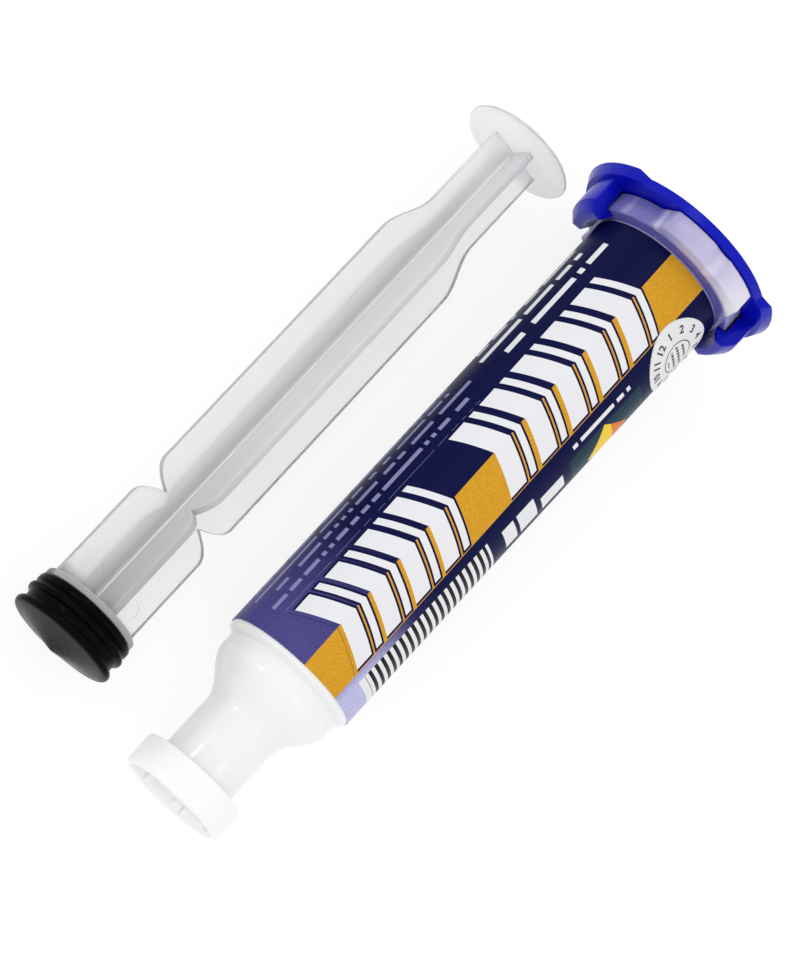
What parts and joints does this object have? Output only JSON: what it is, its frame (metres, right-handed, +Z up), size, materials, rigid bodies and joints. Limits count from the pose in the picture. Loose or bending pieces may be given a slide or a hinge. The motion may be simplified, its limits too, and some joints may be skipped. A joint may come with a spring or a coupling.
{
  "type": "flux syringe",
  "caption": "Flux paste syringe barrel with label, hooked tail cap and tip cap, lying beside its cross-ribbed plunger with rubber seal.",
  "frame": {"origin": "middle of the footprint on the floor, under the barrel and plunger together", "axes": "+Y along the barrel and plunger from their tips to their tails, +Z up from the floor, +X from the plunger towards the barrel"},
  "size_m": [0.0438, 0.0926, 0.0264],
  "materials": {
    "barrel_plastic": "milky translucent, satin gloss",
    "label_print": "coated print, satin",
    "sticker_paper": "matte",
    "paste": "soft wet gloss",
    "tail_cap_plastic": "gloss",
    "tip_cap_plastic": "milky translucent, satin gloss",
    "rod_plastic": "milky translucent, satin gloss",
    "seal_rubber": "matte with a faint sheen"
  },
  "bodies": {
    "barrel": {"barrel": "barrel_plastic", "label": "label_print", "date_sticker": "sticker_paper", "flux_paste": "paste"},
    "tail_cap": {"tail_cap": "tail_cap_plastic"},
    "tip_cap": {"tip_cap": "tip_cap_plastic"},
    "plunger": {"plunger_rod": "rod_plastic", "plunger_seal": "seal_rubber"}
  },
  "joints": [
    {"name": "tail_cap_turn", "type": "hinge", "parent": "barrel", "child": "tail_cap", "pos_m": [0.00747, 0.04427, 0.01316], "axis": [0, 0.9982, 0.06], "range_deg": [-14, 32]},
    {"name": "tip_cap_pull", "type": "slide", "parent": "barrel", "child": "tip_cap", "axis": [0, -0.9982, -0.06], "range_m": [0, 0.015]},
    {"name": "plunger_lift", "type": "slide", "parent": "barrel", "child": "plunger", "axis": [0, 0, 1], "range_m": [0, 0.04]}
  ]
}
